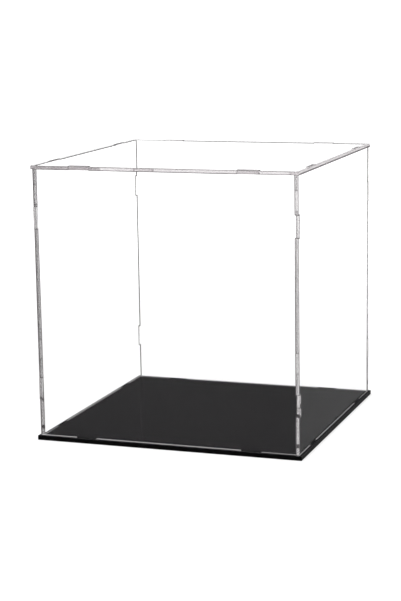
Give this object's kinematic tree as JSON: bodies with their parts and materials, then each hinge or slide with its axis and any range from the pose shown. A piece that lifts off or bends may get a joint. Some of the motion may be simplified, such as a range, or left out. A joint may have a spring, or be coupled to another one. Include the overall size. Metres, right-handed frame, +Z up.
{
  "type": "acrylic display case",
  "caption": "Cube-shaped display case of interlocking acrylic sheets: black slotted base, clear walls joined by tabs and notches, clear top that lifts off. It keeps dust off what it shows.",
  "frame": {"origin": "middle of the base plate's underside, which is where the case rests", "axes": "+Z up; the front wall faces -Y and the right wall faces +X; the case looks the same after each quarter turn about Z"},
  "size_m": [0.275, 0.275, 0.2765],
  "materials": {
    "black_acrylic": "opaque black cast sheet, polished faces, laser-cut edges",
    "clear_acrylic": "clear cast sheet, polished faces, laser-cut edges that look grey"
  },
  "bodies": {
    "base": {"base_plate": "black_acrylic"},
    "walls": {"front_wall": "clear_acrylic", "right_wall": "clear_acrylic", "back_wall": "clear_acrylic", "left_wall": "clear_acrylic"},
    "top": {"top_panel": "clear_acrylic"}
  },
  "joints": [
    {"name": "cover_lift", "type": "slide", "parent": "base", "child": "walls", "axis": [0, 0, 1], "range_m": [0, 0.1]},
    {"name": "top_lift", "type": "slide", "parent": "walls", "child": "top", "axis": [0, 0, 1], "range_m": [0, 0.03]}
  ]
}
